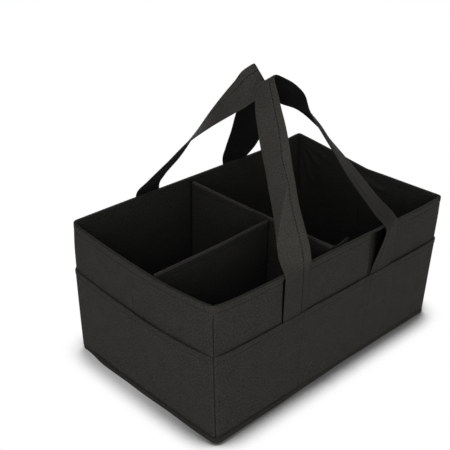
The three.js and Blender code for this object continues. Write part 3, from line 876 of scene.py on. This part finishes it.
def make_strap(side, finish, loop, span, left_end, right_end, crease, curl):
    """A strap from one sewn end over its loop to the other, bent over the rim into its handle."""
    edges = [wall_edges(left_end), loop_edges(loop, *span), wall_edges(right_end)]
    turned = 1 if side == "front" else -1
    outer = np.concatenate([e[0] for e in edges]) * (turned, turned, 1)
    inner = np.concatenate([e[1] for e in edges]) * (turned, turned, 1)
    outer, inner = place(outer), place(inner)
    knots = lengths((outer + inner) / 2)
    t = np.linspace(0, knots[-1], int(knots[-1] / 2.5) + 1)
    outer, inner = spline(knots, outer, t), spline(knots, inner, t)
    middle_line = (outer + inner) / 2
    run = np.gradient(middle_line, t, axis=0)
    face = unit(np.cross(inner - outer, run))
    across = STRAP_COLUMNS
    begin, end, angle = crease
    line = STRAP_STITCH * np.clip((t - begin) / (end - begin), 0, 1)[:, None]
    angle = angle * (1 - smooth((t - end) / FOLD_FADE))[:, None]
    curl_at, curl_run, curl_height = curl
    cupped = curl_height * bump(t - curl_at, curl_run)[:, None]

    def surface(v):
        """Middle surface at shares across the strap, folded along its crease."""
        v = np.asarray(v)[None, :]
        along, lift = folded(v, line, angle)
        lift = STRAP_WIDTH * lift + cupped * 4 * v * (1 - v)
        shift = along[..., None] * (inner - outer)[:, None]
        return middle_line[:, None] + shift + lift[..., None] * face[:, None]

    grid = surface(across)
    normal = unit(np.cross(np.gradient(grid, axis=1), np.gradient(grid, axis=0)))
    profile = np.sqrt(1 - np.clip(np.abs(2 * across - 1), 0, 0.995) ** 14)
    groove = 0.5 * bump((across - STRAP_STITCH) * STRAP_WIDTH, 0.8)
    sewn = smooth((HEIGHT + 6 - grid[..., 2]) / 20)
    thin = 1 - 0.5 * sewn * smooth((across - STRAP_STITCH) / 0.1)[None, :]
    half_thick = ((STRAP / 2 * profile - groove)[None, :] * thin)[..., None]
    shape = thick_sheet(grid + half_thick * normal, grid - half_thick * normal)
    nodes = [f"{side}_{piece}" for piece in ("handle_loop", "left_strap_end", "right_strap_end")]
    # The strap's front faces take its cloth; its back faces take the painted shade cloth
    strap = make_piece(f"{side}_strap", shape, [finish, painted_shade_strap_back], None, nodes)
    column = np.argmin(np.abs(across - STRAP_STITCH))
    lifted = (STRAP / 2 - 0.2) * normal[:, column]
    seam = surface([STRAP_STITCH])[:, 0]
    up = normal[:, column]
    part = t < t[-1] * LEFT_PART
    above = seam + lifted
    rows = [(above[part], up[part], 0), (above[~part], up[~part], 1), (seam - lifted, -up, 0)]
    thread_rows = stitches(f"{side}_strap_stitches", rows, None, [thread, seam_thread])
    for piece in (strap, thread_rows):
        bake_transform(piece)


def make_shadow_sheet(name, left, right, low, high, finish):
    """A dark sheet of painted shadow on the front wall, behind a strap's lifted edge, between edges given
    as (height, place along the wall).
    """
    u, z = np.meshgrid(np.linspace(0, 1, 14), np.linspace(low, high, 26))
    start, end = np.interp(z, *zip(*left)), np.interp(z, *zip(*right))
    share = (start + (end - start) * u) / side_reach("front")
    under = wall_faces("front", share, z)[0] + 0.12
    shape = side_sheet("front", share, z, under + 0.45, under)
    ply = make_piece(name, shape, [finish], "caddy", ())


SHADOW_SHEET_TOP = HEIGHT - 1.5
RIGHT_LOW = 108.0
LEFT_LOW = 100.0
# Left and right edge of each painted shadow sheet: height and place along the wall
RIGHT_SHADOW_SHEET = (((RIGHT_LOW, 59.0), (140.0, 56.5), (HEIGHT, 51.0)), ((RIGHT_LOW, 97.0), (HEIGHT, 97.0)))
LEFT_SHADOW_SHEET = (((LEFT_LOW, -94.0), (112.0, -94.2), (150.0, -95.9), (HEIGHT, -98.3)),
            ((LEFT_LOW, -80.0), (HEIGHT, -80.0)))
make_strap("front", painted_light_strap_cloth, FRONT_LOOP, FRONT_SPAN, FRONT_LEFT_END, FRONT_RIGHT_END, FRONT_CREASE,
           FRONT_CURL)
# Painted shadow behind the front strap's lifted right foot, fading out to its left, and under its lifted
# left edge
make_shadow_sheet("front_strap_shadow_sheet", *RIGHT_SHADOW_SHEET, RIGHT_LOW, SHADOW_SHEET_TOP, painted_shadow_fade)
make_shadow_sheet("front_strap_left_shadow_sheet", *LEFT_SHADOW_SHEET, LEFT_LOW, SHADOW_SHEET_TOP - 3, painted_shadow_cloth)
make_strap("rear", painted_light_rear_strap_cloth, REAR_LOOP, REAR_SPAN, REAR_LEFT_END, REAR_RIGHT_END, NO_CREASE,
           NO_CURL)


# Dividers
CROSS_X = -12.0
CROSS_SKEW = 4.0
LONG_Y = -21.5
LONG_NEAR = -15.9
LONG_SKEW = 3.5
LONG_DROP = (1.2, 2.5)
END_REACH = 186.6
DIVIDER_HEM = 9.0
HEM_ROWS_APART = 4.5
# Length of the cross divider's far end that takes the painted shadow cloth
SHADOW_END = 3.4


def cross_middle(y):
    return CROSS_X - CROSS_SKEW * y / DIVIDER_REACH


def edge_columns(low, high, half, step):
    """Places along a panel: even steps, closer where its ends round over."""
    round_over = half * (1 - np.sin(np.linspace(0, math.pi / 2, 5)))
    inside = np.linspace(low + half, high - half, int((high - low) / step))
    return np.concatenate([low + round_over[::-1][:-1], inside, high - round_over[1:]])


def panel_half(along, z, low, high, top, half):
    """Half thickness of a padded panel with a stitched hem and rounded top and ends."""
    ends = np.minimum(along - low, high - along)
    rounded = np.sqrt(np.clip(1 - np.clip(1 - ends / half, 0, 1) ** 2, 0.02, 1))
    groove = 0.5 * bump(z - (top - DIVIDER_HEM), 0.8)
    groove = groove + 0.35 * bump(z - (top - DIVIDER_HEM + HEM_ROWS_APART), 0.7)
    padded = half * crown(z, top, half) * rounded + 0.15 * smooth((z - top + DIVIDER_HEM) / 2) * rounded
    return padded - groove * rounded


def make_panel(name, body, low, high, spot, shadow_end, nodes):
    """A divider panel standing along a line in plan; spot turns (along, off, z) into box coordinates."""
    along, z = np.meshgrid(edge_columns(low, high, WALL / 2, 4.5),
                           hem_rows(DIVIDER_FOOT, DIVIDER_TOP, DIVIDER_HEM, WALL / 2, 6.0))

    def faces(along, z):
        half = panel_half(along, z, low, high, DIVIDER_TOP, WALL / 2)
        quiet = smooth((DIVIDER_TOP - z) / 25) * smooth((along - low) / 25) * smooth((high - along) / 25)
        wave = 0.5 * quiet * uneven(along, z, 45.0, low)
        return half + wave, -half + wave

    over, under = faces(along, z)
    front, back = place(spot(along, over, z)), place(spot(along, under, z))
    shape = thick_sheet(front, back)
    shape = turned_hem((*shape[:3], 0 * shape[3]), z, DIVIDER_TOP - WALL / 2, 1)
    # Painted shadow: faces within this length of the panel's far end take the dark cloth, standing in for
    # the shade in the gap there
    end = np.concatenate([along.ravel(), along.ravel()])[shape[1]].min(axis=1) >= high - shadow_end
    shape = (*shape[:3], np.where(end, 2, shape[3]))
    panel = make_piece(name, shape, [lining_cloth, outer_cloth, painted_shadow_cloth], body, nodes)
    rows = []
    line = np.linspace(low + 4, high - 4, 120)
    for drop in (DIVIDER_HEM, DIVIDER_HEM - HEM_ROWS_APART):
        level = np.full_like(line, DIVIDER_TOP - drop)
        over, under = faces(line, level)
        away = spot(line, np.ones_like(line), level) - spot(line, np.zeros_like(line), level)
        rows.append((place(spot(line, over + 0.1, level)), away))
        rows.append((place(spot(line, under - 0.1, level)), -away))
    thread_rows = stitches(f"{name}_stitches", rows, body, [thread])


def cross_spot(along, off, z):
    return np.stack([cross_middle(along) + off, along, z], -1)


def long_spot(along, off, z):
    away = LONG_NEAR - along
    drop = LONG_DROP[0] + LONG_DROP[1] * smooth(away / 90)
    skew = LONG_SKEW * away / (LONG_NEAR + END_REACH)
    return np.stack([along, LONG_Y - skew + off, z - drop * (z / DIVIDER_TOP) ** 3], -1)


make_panel("cross_divider", "insert", -DIVIDER_REACH, DIVIDER_REACH - 3, cross_spot, SHADOW_END,
           ["cross_divider_cover", "cross_divider_board"])
make_panel("long_divider_panel", "long_divider", -END_REACH, LONG_NEAR, long_spot, 0.0,
           ["long_divider_cover", "long_divider_board"])


def bent_path(points, radius, step):
    """A plan path through three points with its corner rounded."""
    a, b, c = (np.array(p, float) for p in points)
    into, away = unit(a - b), unit(c - b)
    start, end = b + into * radius, b + away * radius
    t = np.linspace(0, 1, 7)[:, None]
    corner = (1 - t) ** 2 * start + 2 * t * (1 - t) * b + t ** 2 * end
    first = np.linspace(a, start, max(3, int(np.linalg.norm(start - a) / step)))
    last = np.linspace(end, c, max(3, int(np.linalg.norm(c - end) / step)))
    return np.concatenate([first[:-1], corner, last[1:]])


def make_flap(name, body, points, curl, nodes, top=DIVIDER_TOP - 0.3, finishes=(lining_cloth,)):
    """A cloth flap sewn to a divider's face that turns along the wall; curl lifts its free end."""
    path = bent_path(points, 2.2, 3.0)
    z = hem_rows(DIVIDER_FOOT + 0.4, top, 6.0, MOUTH_ROUND, 12.0)
    run = unit(np.gradient(path, axis=0))
    side = np.stack([-run[:, 1], run[:, 0]], -1)
    length = lengths(path)
    free = smooth((length - length[-1] + 24) / 24)
    lift = curl * free[None, :] * (0.35 + 0.65 * (z[:, None] / HEIGHT) ** 2)
    to_end = np.minimum(length, length[-1] - length)
    ends = np.sqrt(np.clip(1 - np.clip(1 - to_end / 0.6, 0, 1) ** 2, 0.05, 1))
    half = CLOTH / 2 * crown(z, top, MOUTH_ROUND)[:, None] * ends[None, :]
    grids = []
    for way in (1, -1):
        flat = path[None] + (lift + way * half)[..., None] * side[None]
        level = np.broadcast_to(z[:, None, None], flat.shape[:2] + (1,))
        grids.append(place(np.concatenate([flat, level], -1)))
    flap = make_piece(name, thick_sheet(*grids), finishes, body, nodes)
    return flap


LAP = 14.0
WALL_FLAP = 30.0
FLAP_Y = 112.85
LEFT_FLAP = 19.0
LEFT_FLAP_X = -187.3
LEFT_FLAP_TOP = 168.0
JUNCTION_FLAP = 24.0
flap_face = WALL / 2 + CLOTH / 2 + 0.15
front_x = cross_middle(-DIVIDER_REACH) + flap_face
rear_x = cross_middle(DIVIDER_REACH) + flap_face
front_path = [(front_x, -FLAP_Y + LAP), (front_x, -FLAP_Y), (front_x + WALL_FLAP, -FLAP_Y)]
make_flap("front_flap", "insert", front_path, 4.0, ["cross_front_flap"])
rear_path = [(rear_x, FLAP_Y - LAP), (rear_x, FLAP_Y), (rear_x + WALL_FLAP, FLAP_Y)]
# The rear flap's one face and edges take the painted shadow cloth, painted shade in the gap behind the
# cross divider's end
make_flap("rear_flap", "insert", rear_path, -0.6, ["cross_rear_flap"], DIVIDER_TOP - 3,
          (painted_shadow_cloth, lining_cloth))
long_face = LONG_Y + flap_face
left_face = long_face - LONG_SKEW
left_path = [(LEFT_FLAP_X + LAP, left_face), (LEFT_FLAP_X, left_face), (LEFT_FLAP_X, left_face + LEFT_FLAP)]
make_flap("left_flap", "long_divider", left_path, 0.0, ["long_divider_flap"], LEFT_FLAP_TOP)
junction_x = cross_middle(long_face) - flap_face
junction_path = [(junction_x - LAP, long_face), (junction_x, long_face),
                 (junction_x, long_face + JUNCTION_FLAP)]
junction = make_flap("junction_flap", None, junction_path, 0.0, ["divider_junction_flap"])
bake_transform(junction)


# Hook and loop tapes
TAPE = 0.8
TAPE_WIDTH = 22.0
TAPE_SHIFT = 4.1
LEFT_TAPE_WIDTH = 15.0
LEFT_TAPE_SHIFT = 11.9
LOOP_OFF = -4.5
HOOK_OFF = -5.6
# Middle of each tape along its side, and its width
TAPES = {
    "front": (CROSS_SKEW + TAPE_SHIFT, TAPE_WIDTH),
    "rear": (CROSS_SKEW - TAPE_SHIFT, TAPE_WIDTH),
    "left": (LEFT_TAPE_SHIFT, LEFT_TAPE_WIDTH),
}
# Body and node of each hook tape
HOOKS = {
    "front": ("insert", "cross_front_hook_tape"),
    "rear": ("insert", "cross_rear_hook_tape"),
    "left": ("long_divider", "long_divider_hook_tape"),
}


def make_tape(name, body, side, off, material, cad_node):
    low, high = (corner[2] for corner in node_box(cad_node))
    middle, width = TAPES[side]
    share = np.linspace(middle - width / 2, middle + width / 2, 9) / side_reach(side)
    share, z = np.meshgrid(share, np.linspace(low, high, 24))
    shape = side_sheet(side, share, z, off, off - TAPE)
    tape = make_piece(name, shape, [material], body, [cad_node])


for side in TAPES:
    make_tape(f"{side}_loop_tape", "caddy", side, LOOP_OFF, loop_pile, f"{side}_wall_loop_tape")
for side, (body, cad_node) in HOOKS.items():
    make_tape(f"{side}_hook_tape", body, side, HOOK_OFF, hook_pile, cad_node)


# Camera fitted to the photograph's rim, pocket mouth and base corners
IMAGE_PIXELS = 450
FOCAL_PIXELS = 1040.8
CAMERA_AZIMUTH = math.radians(-44.48)
CAMERA_ELEVATION = math.radians(28.52)
CAMERA_ROLL = math.radians(1.54)
CAMERA_DISTANCE = 1353.8
CAMERA_ACROSS = -43.4
CAMERA_RISE = 137.4


def add_camera():
    ca, sa = math.cos(CAMERA_AZIMUTH), math.sin(CAMERA_AZIMUTH)
    ce, se = math.cos(CAMERA_ELEVATION), math.sin(CAMERA_ELEVATION)
    back = Vector((sa * ce, -ca * ce, se))
    level = Vector((ca, sa, 0))
    above = back.cross(level)
    right = math.cos(CAMERA_ROLL) * level + math.sin(CAMERA_ROLL) * above
    up = math.cos(CAMERA_ROLL) * above - math.sin(CAMERA_ROLL) * level
    centre = (CAMERA_ACROSS * right + CAMERA_RISE * up + CAMERA_DISTANCE * back) * MM
    data = bpy.data.cameras.new("camera")
    data.sensor_width = 36
    data.lens = FOCAL_PIXELS / IMAGE_PIXELS * data.sensor_width
    camera = bpy.data.objects.new("camera", data)
    turn = Matrix((right, up, back)).transposed().to_4x4()
    camera.matrix_world = Matrix.Translation(centre) @ turn
    bpy.context.scene.collection.objects.link(camera)
    bpy.context.scene.camera = camera


def add_lamp(name, place_m, target_m, size_m, watts):
    data = bpy.data.lights.new(name, "AREA")
    data.shape = "RECTANGLE"
    data.size, data.size_y = size_m
    data.energy = watts
    lamp = bpy.data.objects.new(name, data)
    lamp.location = place_m
    lamp.rotation_euler = (Vector(place_m) - Vector(target_m)).to_track_quat("Z", "Y").to_euler()
    bpy.context.scene.collection.objects.link(lamp)


def seen_directly(tree):
    """1 for rays that show the background: from the camera, in gloss or through glass."""
    path = tree.nodes.new("ShaderNodeLightPath")
    seen = maths(tree, "MAXIMUM", path.outputs["Is Camera Ray"], path.outputs["Is Glossy Ray"])
    return maths(tree, "MAXIMUM", seen, path.outputs["Is Transmission Ray"])


def shown_apart(tree, lit, shown, output):
    """Shows the camera one shader while another one takes and gives the light."""
    mix = tree.nodes.new("ShaderNodeMixShader")
    for socket, value in zip(mix.inputs, (seen_directly(tree), lit.outputs[0], shown.outputs[0])):
        tree.links.new(value, socket)
    tree.links.new(mix.outputs[0], tree.nodes[output].inputs["Surface"])


def add_world():
    world = bpy.data.worlds.new("studio")
    bpy.context.scene.world = world
    world.use_nodes = True
    tree = world.node_tree
    light = node(tree, "ShaderNodeBackground", Color=(1, 1, 1, 1), Strength=0.03)
    shown = node(tree, "ShaderNodeBackground", Color=(1, 1, 1, 1), Strength=1.0)
    shown_apart(tree, light, shown, "World Output")


FLOOR_HALF = 6.0
CONTACT_REACH = 0.042
# The shown brightness against the open share of the floor's sky: from, to, and the brightness at each
CONTACT_SHADE = (0.492, 0.932, 0.08, 1.0)
# The contact shadow weakens to the left, where most of the light comes from: y - x from and to, in
# metres, and the shadow's share at each
LEFT_SHADOW = (0.06, 0.22, 1.0, 0.72)


def add_floor():
    mesh = bpy.data.meshes.new("floor")
    corners = [(x * FLOOR_HALF, y * FLOOR_HALF, 0) for x, y in ((-1, -1), (1, -1), (1, 1), (-1, 1))]
    mesh.from_pydata(corners, [], [(0, 1, 2, 3)])
    floor = bpy.data.objects.new("floor", mesh)
    bpy.context.scene.collection.objects.link(floor)
    material, tree, shader = new_material("floor")
    tree.nodes.remove(shader)
    lit = node(tree, "ShaderNodeBsdfDiffuse", Color=(0.8, 0.8, 0.8, 1))
    contact = node(tree, "ShaderNodeAmbientOcclusion", Distance=CONTACT_REACH)
    contact.samples = 16
    shade = mapped(tree, contact.outputs["AO"], *CONTACT_SHADE)
    shade.node.interpolation_type = "SMOOTHSTEP"
    spot = split(tree, tree.nodes.new("ShaderNodeNewGeometry").outputs["Position"])
    leftward = maths(tree, "SUBTRACT", spot[1], spot[0])
    strength = mapped(tree, leftward, *LEFT_SHADOW)
    shadow = maths(tree, "MULTIPLY", maths(tree, "SUBTRACT", 1.0, shade), strength)
    shown = node(tree, "ShaderNodeEmission", Strength=maths(tree, "SUBTRACT", 1.0, shadow))
    shown_apart(tree, lit, shown, "Material Output")
    mesh.materials.append(material)


# Each lamp: where it stands, where it points, its size in metres and its watts
LAMPS = {
    "key": ((-1.5, -1.5, 1.1), (0, 0, 0.12), (1.3, 1.3), 17),
    "second": ((-0.85, -2.0, 1.1), (0, 0, 0.12), (1.2, 1.2), 7.5),
    "high_left": ((-1.5, -0.4, 1.6), (0, 0, 0.15), (1.2, 1.2), 9.5),
    "low_left": ((-2.0, -0.8, 0.35), (0, 0, 0.12), (1.2, 0.6), 5.2),
    "low_front": ((-0.4, -2.1, 0.35), (0, 0, 0.12), (1.2, 0.6), 5.2),
    "back": ((1.6, 1.6, 0.55), (0, 0, 0.1), (1.4, 0.9), 26),
}

add_camera()
add_world()
add_floor()
for name, settings in LAMPS.items():
    add_lamp(name, *settings)
bpy.context.scene.view_settings.view_transform = "Standard"
